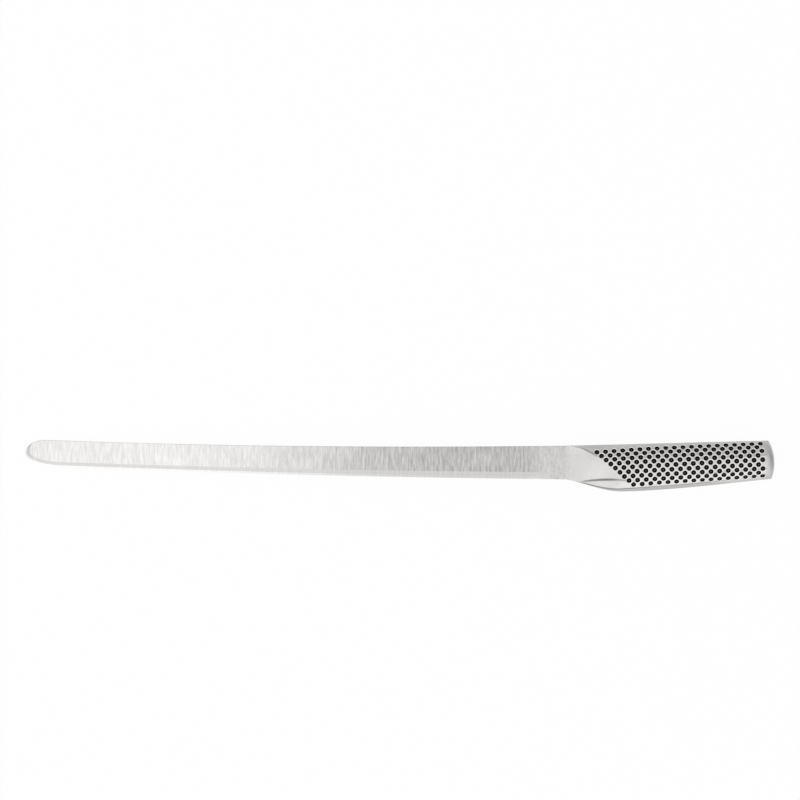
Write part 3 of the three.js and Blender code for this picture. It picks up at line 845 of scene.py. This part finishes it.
def make_shell(finishes, places):
    """The left half of the handle."""
    shell = outer_half("handle_half_left", SEAM_SLIT)
    add_finishes(shell, finishes)

    for path in (spine_seam, belly_seam, butt_seam):
        combine(shell, seam_wedge(path, SEAM_GROOVE), "DIFFERENCE")

    hollow = half_solid(
        "hollow", HOLLOW_STEPS, HOLLOW_GIRTH_STEPS, CAVITY_FRONT, HANDLE_LENGTH - WALL, WALL, -WALL
    )
    combine(shell, hollow, "DIFFERENCE")

    bpy.ops.object.select_all(action="DESELECT")
    bpy.ops.mesh.primitive_cube_add(size=1)
    slot = bpy.context.object
    slot.scale = (
        2 * (TONGUE_LENGTH + TONGUE_ROOM),
        TONGUE_HEIGHT + 2 * TONGUE_ROOM,
        TONGUE_THICKNESS + 2 * TONGUE_ROOM,
    )
    bpy.ops.object.transform_apply(scale=True)
    combine(shell, slot, "DIFFERENCE")

    combine(shell, spread(dimple_cutter(finishes), places), "DIFFERENCE")
    # Painted shade: a share per vertex of dark colour in the cheek's creases, along its ridges, fold and
    # guard's step and round its rim
    shade_share = shell.data.attributes.new("residue", "FLOAT", "POINT")
    shade_share.data.foreach_set("value", [residue(v.co.x, v.co.y) for v in shell.data.vertices])
    smooth(shell, SHELL_SMOOTHING)
    return shell


def mirrored(piece, name):
    """A copy of a piece on the other side of the middle plane."""
    copy = duplicate(piece, name)
    copy.scale.z = -1
    bpy.ops.object.transform_apply(scale=True)
    bpy.ops.object.mode_set(mode="EDIT")
    face_outwards()
    close_mesh()
    return copy


def make_enamel(finishes, places):
    """The paint in the dimples of the left cheek: a thin dished lens in each bowl."""
    rings = [
        (DIMPLE_RADIUS - 2 * ENAMEL_GAP, -RIM_DEPTH - ENAMEL_GAP),
        (bowl_radius(BOWL_BEND) - 2 * ENAMEL_GAP, bowl_height(BOWL_BEND) + ENAMEL_GAP),
    ]
    lens = turned_plug("enamel_lens", rings)
    add_finishes(lens, finishes)
    open_mesh(lens, "FACE")
    select_where(lens, lambda face: face.normal.z > NEARLY_SQUARE_ON, "faces")
    for width, drop in ((ENAMEL_SLOPE, ENAMEL_SLOPE_DROP), (ENAMEL_FLOOR, ENAMEL_FLOOR_DROP)):
        bpy.ops.mesh.inset(thickness=width * DIMPLE_RADIUS)
        bpy.ops.transform.translate(value=(0, 0, -drop))
    # The floor of each lens takes the second finish, a lighter grey enamel: a painted highlight in the
    # dimple's middle
    lens.active_material_index = 1
    bpy.ops.object.material_slot_assign()
    close_mesh()
    enamel = spread(lens, places)
    enamel.name = "dimple_enamel_left"
    smooth(enamel, ENAMEL_SMOOTHING)
    return enamel


# Welds


def handle_body():
    """The whole outer form of the handle."""
    body = outer_half("handle_body", -SEAM_SLIT)
    combine(body, mirrored(body, "handle_body_right"), "UNION")
    return body


def make_bead(name, path, finish, body):
    """Weld metal that fills the groove of a seam up to the handle's outer form."""
    bead = duplicate(body, name)
    combine(bead, seam_wedge(path, SEAM_GROOVE - BEAD_ROOM), "INTERSECT")
    bead.data.materials.clear()  # the Boolean leaves an empty slot behind
    bead.data.materials.append(finish)
    smooth(bead, WELD_SMOOTHING)
    return bead


# Corners of the chamfered section round the neck, counted from the spine's right one
NECK_CORNERS = 8
NECK_UPPER = (7, 0, 1, 2)
NECK_LEFT = (1, 2, 3, 4)
NECK_ENDS = (0, 1, 4, 5)  # those on the narrow faces, over the spine and under the belly


def neck_corner(share, top, bottom, half_thickness):
    corner = round(NECK_CORNERS * share) % NECK_CORNERS
    y = top if corner in NECK_UPPER else -bottom
    z = half_thickness if corner in NECK_LEFT else -half_thickness
    if corner in NECK_ENDS:
        return y, math.copysign(half_thickness - SPINE_CHAMFER, z)
    return y - math.copysign(SPINE_CHAMFER, y), z


def make_neck_weld(finish):
    """A ring of weld metal round the tongue, between the heel and the two halves."""
    front = SEAM_SLIT
    rear = NECK_GROOVE - SEAM_SLIT
    hole_height = TONGUE_HEIGHT / 2 + TONGUE_ROOM
    hole_half = TONGUE_THICKNESS / 2 + TONGUE_ROOM
    heel_half = HEEL_THICKNESS / 2
    rear_half = handle_half(NECK_GROOVE, 0, SKIN_DEPTH)
    loops = [
        (front, HEEL_HEIGHT / 2, HEEL_HEIGHT / 2, heel_half),
        (rear, handle_top(rear) - SKIN_DEPTH, -handle_bottom(rear) - SKIN_DEPTH, rear_half),
        (rear, hole_height, hole_height, hole_half),
        (front, hole_height, hole_height, hole_half),
    ]

    def place(around, across):
        x, top, bottom, half = loops[round(len(loops) * across) % len(loops)]
        y, z = neck_corner(around, top, bottom, half)
        return Vector((x, y, z))

    weld = skin("neck_weld_ring", NECK_CORNERS, len(loops), place)
    weld.data.materials.append(finish)
    open_mesh(weld)
    merge_doubles()
    face_outwards()
    close_mesh()
    smooth(weld, WELD_SMOOTHING)
    return weld


# Finishes

STEEL_TINT = (1, 0.988, 0.972)  # parts of red, green and blue in a grey
# Dark greys of the painted shade on the handle
PAINTED_SHADE_TONES = (0.12, 0.2)

# Detail and roughness of the noises
LINE_NOISE = (6, 0.7)
CLOUD_NOISE = (3, 0.5)
GRAIN_NOISE = (4, 0.65)
MOTTLE_NOISE = (4, 0.6)

# Fineness of the patterns along each axis, in grains to a metre
PLAIN_SCALE = (1, 1, 1)
FLAT_LINE_SCALE = (1050, 130, 130)
BEVEL_LINE_SCALE = (2200, 60, 60)
BLADE_CLOUD_SCALE = (45, 90, 90)
STROKE_SCALE = (110, 40, 40)
MOTTLE_SCALE = (900, 380, 380)
GRAIN_SCALE = (1600, 1600, 1600)
WELD_GRAIN_SCALE = (800, 1800, 1800)
HANDLE_CLOUD_SCALE = (70, 70, 70)
ENAMEL_SCALE = (900, 900, 900)
SAND_SCALE = (2500, 2500, 2500)

# Places along the blade, in metres on the frame, between which its ground lines coarsen and its colour
# darkens, partly painted shade, and calm down again
COARSE_START = -0.138
COARSE_FULL = 0.03
COARSE_FADE = 0.073
COARSE_END = 0.088
CALMED_SHARE = 0.62
NOSE_LINE_SHARE = 0.4  # depth of the lines where they are faint

# Depths of the patterns, in metres
LINE_DEPTH = 0.00004
SATIN_DEPTH = 0.00003
FINE_DEPTH = 0.00001
ENAMEL_DEPTH = 0.00003
SAND_DEPTH = 0.0002

# Tones of the blade: noise values that come out dark and light, and shares of the patterns
LINE_DARK = 0.44
LINE_LIGHT = 0.71
LINE_BUMP = 0.4
BLADE_CLOUD_SHARE = 0.15
STROKE_DISTORTION = 7
STROKE_DETAIL = 3
STROKE_DETAIL_SCALE = 2.5
STROKE_SHARE = 0.3
MOTTLE_DARK = 0.34
MOTTLE_LIGHT = 0.66
MOTTLE_SHARE = 0.85

# Tones of the satin steel, the enamel and the sand, in the same way
SATIN_DARK = 0.5
SATIN_LIGHT = 1
SATIN_BUMP = 0.3
HANDLE_CLOUD_SHARE = 0.5
ENAMEL_DARK = 0.3
ENAMEL_LIGHT = 0.7
ENAMEL_BUMP = 0.1
ENAMEL_GLOSS = 0.04
SAND_GRAIN_EDGE = 0.8  # distance from a grain's middle that comes out light
SAND_DARK = (0.55, 0.44, 0.27, 1)
SAND_LIGHT = (0.72, 0.62, 0.44, 1)
SAND_ROUGHNESS = (0.8, 1)
SAND_BUMP = 0.6


def new_finish(name):
    finish = bpy.data.materials.new(name)
    finish.use_nodes = True
    return finish, finish.node_tree, finish.node_tree.nodes["Principled BSDF"]


def feed(tree, value, socket):
    """Gives an input a plain value or the output of another node."""
    if isinstance(value, bpy.types.NodeSocket):
        tree.links.new(value, socket)
    else:
        socket.default_value = value


def object_places(tree, scale):
    coordinates = tree.nodes.new("ShaderNodeTexCoord")
    mapping = tree.nodes.new("ShaderNodeMapping")
    mapping.inputs["Scale"].default_value = scale
    tree.links.new(coordinates.outputs["Object"], mapping.inputs["Vector"])
    return mapping.outputs["Vector"]


def split_axes(tree, places):
    node = tree.nodes.new("ShaderNodeSeparateXYZ")
    tree.links.new(places, node.inputs["Vector"])
    return node.outputs


def noise(tree, scale, detail, roughness):
    texture = tree.nodes.new("ShaderNodeTexNoise")
    texture.inputs["Scale"].default_value = 1
    texture.inputs["Detail"].default_value = detail
    texture.inputs["Roughness"].default_value = roughness
    tree.links.new(object_places(tree, scale), texture.inputs["Vector"])
    return texture.outputs["Fac"]


def map_range(tree, value, from_low, from_high, to_low, to_high):
    node = tree.nodes.new("ShaderNodeMapRange")
    tree.links.new(value, node.inputs["Value"])
    node.inputs["From Min"].default_value = from_low
    node.inputs["From Max"].default_value = from_high
    node.inputs["To Min"].default_value = to_low
    node.inputs["To Max"].default_value = to_high
    return node.outputs["Result"]


def smooth_range(tree, value, low, high, start, end):
    """A soft change from one value to another between two places."""
    result = map_range(tree, value, low, high, start, end)
    result.node.interpolation_type = "SMOOTHSTEP"
    return result


def maths(tree, operation, first, second):
    node = tree.nodes.new("ShaderNodeMath")
    node.operation = operation
    feed(tree, first, node.inputs[0])
    feed(tree, second, node.inputs[1])
    return node.outputs["Value"]


def mix(tree, kind, share, first, second):
    """A blend of two numbers, of the kind FLOAT, or of two colours, of the kind RGBA."""
    node = tree.nodes.new("ShaderNodeMix")
    node.data_type = kind
    feed(tree, share, node.inputs["Factor"])
    feed(tree, first, node.inputs["A"])
    feed(tree, second, node.inputs["B"])
    return node.outputs["Result"]


def grey(value):
    return (*(value * part for part in STEEL_TINT), 1)


def mix_greys(tree, share, tones):
    dark, light = tones
    return mix(tree, "RGBA", share, grey(dark), grey(light))


def bump(tree, height, strength, distance):
    node = tree.nodes.new("ShaderNodeBump")
    node.inputs["Strength"].default_value = strength
    node.inputs["Distance"].default_value = distance
    tree.links.new(height, node.inputs["Height"])
    return node.outputs["Normal"]


def dress(tree, shader, colour, roughness, normal):
    """Links what a finish looks like to its shader."""
    tree.links.new(colour, shader.inputs["Base Color"])
    tree.links.new(roughness, shader.inputs["Roughness"])
    tree.links.new(normal, shader.inputs["Normal"])


def stroke_waves(tree):
    node = tree.nodes.new("ShaderNodeTexWave")
    node.inputs["Scale"].default_value = 1
    node.inputs["Distortion"].default_value = STROKE_DISTORTION
    node.inputs["Detail"].default_value = STROKE_DETAIL
    node.inputs["Detail Scale"].default_value = STROKE_DETAIL_SCALE
    tree.links.new(object_places(tree, STROKE_SCALE), node.inputs["Vector"])
    return node.outputs["Fac"]


def make_blade_finish(name, line_scale, nose_tones, heel_tones, roughness, line_depth):
    """Ground steel: lines across the blade, faint at the nose and coarse in front of the heel, where the
    colour is darker: partly the coarser grind, partly painted shade.
    """
    finish, tree, shader = new_finish(name)
    lines = noise(tree, line_scale, *LINE_NOISE)
    clouds = maths(tree, "MULTIPLY", noise(tree, BLADE_CLOUD_SCALE, *CLOUD_NOISE), BLADE_CLOUD_SHARE)
    tone = map_range(tree, maths(tree, "ADD", lines, clouds), LINE_DARK, LINE_LIGHT, 0, 1)

    line_part = maths(tree, "MULTIPLY", tone, 1 - STROKE_SHARE)
    stroke_part = map_range(tree, stroke_waves(tree), 0, 1, 0, STROKE_SHARE)
    stroke_tone = maths(tree, "ADD", line_part, stroke_part)
    mottle = noise(tree, MOTTLE_SCALE, *MOTTLE_NOISE)
    mottle_tone = map_range(tree, mottle, MOTTLE_DARK, MOTTLE_LIGHT, 0, 1)

    along = split_axes(tree, object_places(tree, PLAIN_SCALE))["X"]
    coarse = smooth_range(tree, along, COARSE_START, COARSE_FULL, 0, 1)
    calmed = smooth_range(tree, along, COARSE_FADE, COARSE_END, 1, CALMED_SHARE)
    ground = maths(tree, "MULTIPLY", coarse, calmed)
    mottled = smooth_range(tree, along, COARSE_FADE, COARSE_END, 0, MOTTLE_SHARE)
    heel_tone = mix(tree, "FLOAT", mottled, stroke_tone, mottle_tone)

    nose = mix_greys(tree, tone, nose_tones)
    heel = mix_greys(tree, heel_tone, heel_tones)
    colour = mix(tree, "RGBA", ground, nose, heel)
    polished, dull = roughness
    height = maths(tree, "MULTIPLY", lines, map_range(tree, ground, 0, 1, NOSE_LINE_SHARE, 1))
    normal = bump(tree, height, LINE_BUMP, line_depth)
    dress(tree, shader, colour, map_range(tree, tone, 0, 1, dull, polished), normal)
    shader.inputs["Metallic"].default_value = 1
    return finish


def make_satin(name, tones, grain_scale, roughness, grain_depth, painted_shading=True):
    """Blasted and brushed satin steel: a fine grain with faint clouds, darker where the piece's attribute of
    painted shade says.
    """
    finish, tree, shader = new_finish(name)
    grain = noise(tree, grain_scale, *GRAIN_NOISE)
    clouds = maths(tree, "MULTIPLY", noise(tree, HANDLE_CLOUD_SCALE, *CLOUD_NOISE), HANDLE_CLOUD_SHARE)
    tone = map_range(tree, maths(tree, "ADD", grain, clouds), SATIN_DARK, SATIN_LIGHT, 0, 1)
    colour = mix_greys(tree, tone, tones)
    if painted_shading:
        # Painted shade: where the piece's attribute says, the colour turns to a dark grey
        shade_share = tree.nodes.new("ShaderNodeAttribute")
        shade_share.attribute_name = "residue"
        shaded_colour = mix_greys(tree, tone, PAINTED_SHADE_TONES)
        colour = mix(tree, "RGBA", shade_share.outputs["Fac"], colour, shaded_colour)
    polished, dull = roughness
    normal = bump(tree, grain, SATIN_BUMP, grain_depth)
    dress(tree, shader, colour, map_range(tree, tone, 0, 1, dull, polished), normal)
    shader.inputs["Metallic"].default_value = 1
    return finish


def make_enamel_finish(name, tones, roughness):
    finish, tree, shader = new_finish(name)
    cloud = noise(tree, ENAMEL_SCALE, *CLOUD_NOISE)
    share = map_range(tree, cloud, ENAMEL_DARK, ENAMEL_LIGHT, 0, 1)
    colour = mix_greys(tree, share, tones)
    gloss = map_range(tree, cloud, ENAMEL_DARK, ENAMEL_LIGHT, *roughness)
    dress(tree, shader, colour, gloss, bump(tree, cloud, ENAMEL_BUMP, ENAMEL_DEPTH))
    shader.inputs["Specular IOR Level"].default_value = ENAMEL_GLOSS
    return finish


def make_sand_finish():
    finish, tree, shader = new_finish("ballast_sand")
    grains = tree.nodes.new("ShaderNodeTexVoronoi")
    grains.inputs["Scale"].default_value = 1
    tree.links.new(object_places(tree, SAND_SCALE), grains.inputs["Vector"])
    distance = grains.outputs["Distance"]
    share = map_range(tree, distance, 0, SAND_GRAIN_EDGE, 0, 1)
    colour = mix(tree, "RGBA", share, SAND_DARK, SAND_LIGHT)
    roughness = map_range(tree, distance, 0, SAND_GRAIN_EDGE, *SAND_ROUGHNESS)
    dress(tree, shader, colour, roughness, bump(tree, distance, SAND_BUMP, SAND_DEPTH))
    return finish


# Heel greys far darker than the nose's: partly the coarser grind, partly painted shade along the blade
blade_flat = make_blade_finish(
    "blade_flat",
    line_scale=FLAT_LINE_SCALE,
    nose_tones=(0.68, 0.82),
    heel_tones=(0.335, 0.575),
    roughness=(0.28, 0.4),
    line_depth=LINE_DEPTH,
)
# The bevel's greys, darker than the flat near the nose and lighter near the heel, are painted shade and
# light; the honed strip's much lighter greys are a painted highlight
blade_bevel = make_blade_finish(
    "blade_bevel",
    line_scale=BEVEL_LINE_SCALE,
    nose_tones=(0.55, 0.62),
    heel_tones=(0.48, 0.55),
    roughness=(0.22, 0.3),
    line_depth=FINE_DEPTH,
)
honed_edge = make_blade_finish(
    "honed_edge",
    line_scale=BEVEL_LINE_SCALE,
    nose_tones=(0.74, 0.84),
    heel_tones=(0.52, 0.60),
    roughness=(0.2, 0.3),
    line_depth=FINE_DEPTH,
)
handle_satin = make_satin("handle_satin", (0.62, 0.74), GRAIN_SCALE, (0.36, 0.46), SATIN_DEPTH)
# The dimple's rim ring: the same satin steel in a much lighter grey, a painted highlight
dimple_rim = make_satin("dimple_rim", (0.90, 0.98), GRAIN_SCALE, (0.3, 0.4), FINE_DEPTH, painted_shading=False)
dimple_bowl = make_satin("dimple_bowl", (0.20, 0.28), GRAIN_SCALE, (0.4, 0.5), FINE_DEPTH)
weld_satin = make_satin("weld_satin", (0.56, 0.68), WELD_GRAIN_SCALE, (0.34, 0.44), SATIN_DEPTH)
black_enamel = make_enamel_finish("black_enamel", tones=(0.002, 0.005), roughness=(0.14, 0.24))
# Lighter enamel for the middle of each dimple: a painted highlight
worn_enamel = make_enamel_finish("worn_enamel", tones=(0.09, 0.17), roughness=(0.2, 0.3))


# Assembly

shell_finishes = (handle_satin, dimple_rim, dimple_bowl)
places = dimple_places()
blade = make_blade((blade_flat, blade_bevel, honed_edge))
shell_left = make_shell(shell_finishes, places)
shell_right = mirrored(shell_left, "handle_half_right")
enamel_left = make_enamel((black_enamel, worn_enamel), places)
enamel_right = mirrored(enamel_left, "dimple_enamel_right")
neck_weld = make_neck_weld(weld_satin)
body = handle_body()
spine_bead = make_bead("spine_bead", spine_seam, weld_satin, body)
belly_bead = make_bead("belly_bead", belly_seam, weld_satin, body)
butt_bead = make_bead("butt_bead", butt_seam, weld_satin, body)
bpy.data.objects.remove(body)

lay_down(blade, "blade_steel", "blade")
lay_down(shell_left, "handle_steel", "handle_shell_left")
lay_down(shell_right, "handle_steel", "handle_shell_right")
lay_down(enamel_left, "dimple_enamel")
lay_down(enamel_right, "dimple_enamel")
lay_down(neck_weld, "weld_steel", "neck_weld")
lay_down(spine_bead, "weld_steel", "spine_seam_weld")
lay_down(belly_bead, "weld_steel", "belly_seam_weld")
lay_down(butt_bead, "weld_steel", "butt_seam_weld")

sand = frame["nodes"]["sand_fill"]
sand.data.materials.clear()
sand.data.materials.append(make_sand_finish())

# Studio

FLOOR_SIZE = 30
FLOOR_DROP = 0.0003  # below the knife
FLOOR_COLOUR = (0.95, 0.95, 0.95, 1)
FLOOR_ROUGHNESS = 0.9
FLOOR_GLOW = 0.95  # share of plain white in what the camera sees of it
EDGE_SIDE_LIGHT = 1.28  # strength of the world's light from the cutting edge's side
SPINE_SIDE_LIGHT = 0.68  # and from the spine's side
BUTT_SHADE = 0.55  # what it loses towards the butt, from this share of the way there
BUTT_SHADE_START = 0.3
LAMP_WIDTH = 0.5
LAMP_DEPTH = 0.6
LAMP_PLACE = (-0.16, 0, 0.6)
LAMP_POWER = 0.22
CAMERA_DISTANCE = 4
SENSOR_WIDTH = 36
CLIP_END = 100
VIEW_WIDTH = 0.476  # of the picture, at the knife
AIM_POINT = Vector((-98.8, 37.2, 0))  # of the picture's middle, in the knife's own frame


def make_floor_finish():
    finish, tree, shader = new_finish("pale_floor")
    nodes = tree.nodes
    shader.inputs["Base Color"].default_value = FLOOR_COLOUR
    shader.inputs["Roughness"].default_value = FLOOR_ROUGHNESS
    glow = nodes.new("ShaderNodeEmission")
    light_path = nodes.new("ShaderNodeLightPath")
    seen = maths(tree, "MULTIPLY", light_path.outputs["Is Camera Ray"], FLOOR_GLOW)
    mixed = nodes.new("ShaderNodeMixShader")
    tree.links.new(seen, mixed.inputs["Fac"])
    tree.links.new(shader.outputs["BSDF"], mixed.inputs[1])
    tree.links.new(glow.outputs["Emission"], mixed.inputs[2])
    tree.links.new(mixed.outputs["Shader"], nodes["Material Output"].inputs["Surface"])
    return finish


def make_world():
    """Even light with a darker spine side and butt end, plain white where the camera looks at it."""
    world = bpy.data.worlds.new("studio")
    bpy.context.scene.world = world
    world.use_nodes = True
    tree = world.node_tree
    nodes = tree.nodes
    background = nodes["Background"]
    coordinates = nodes.new("ShaderNodeTexCoord")
    direction = split_axes(tree, coordinates.outputs["Generated"])
    across = map_range(tree, direction["Y"], -1, 1, EDGE_SIDE_LIGHT, SPINE_SIDE_LIGHT)
    behind = smooth_range(tree, direction["X"], BUTT_SHADE_START, 1, 0, BUTT_SHADE)
    shade = maths(tree, "SUBTRACT", across, behind)
    rays = nodes.new("ShaderNodeLightPath").outputs
    seen = maths(tree, "MAXIMUM", rays["Is Camera Ray"], rays["Is Transmission Ray"])
    tree.links.new(mix(tree, "FLOAT", seen, shade, 1), background.inputs["Strength"])
    background.inputs["Color"].default_value = (1, 1, 1, 1)


def make_lamp():
    lamp_data = bpy.data.lights.new("softbox", "AREA")
    lamp_data.shape = "RECTANGLE"
    lamp_data.size = LAMP_WIDTH
    lamp_data.size_y = LAMP_DEPTH
    lamp_data.energy = LAMP_POWER
    lamp = bpy.data.objects.new("softbox", lamp_data)
    lamp.location = LAMP_PLACE
    lamp.visible_camera = False
    bpy.context.scene.collection.objects.link(lamp)


def make_camera():
    camera_data = bpy.data.cameras.new("camera")
    camera_data.sensor_width = SENSOR_WIDTH
    camera_data.lens = SENSOR_WIDTH * CAMERA_DISTANCE / VIEW_WIDTH
    camera_data.clip_end = CLIP_END
    camera = bpy.data.objects.new("camera", camera_data)
    camera.location = resting_place() @ AIM_POINT + Vector((0, 0, CAMERA_DISTANCE))
    bpy.context.scene.collection.objects.link(camera)
    bpy.context.scene.camera = camera


bpy.ops.object.select_all(action="DESELECT")
bpy.ops.mesh.primitive_plane_add(size=FLOOR_SIZE, location=(0, 0, -FLOOR_DROP))
floor = bpy.context.object
floor.name = "floor"
floor.data.materials.append(make_floor_finish())
make_world()
make_lamp()
make_camera()
bpy.context.scene.view_settings.view_transform = "Standard"
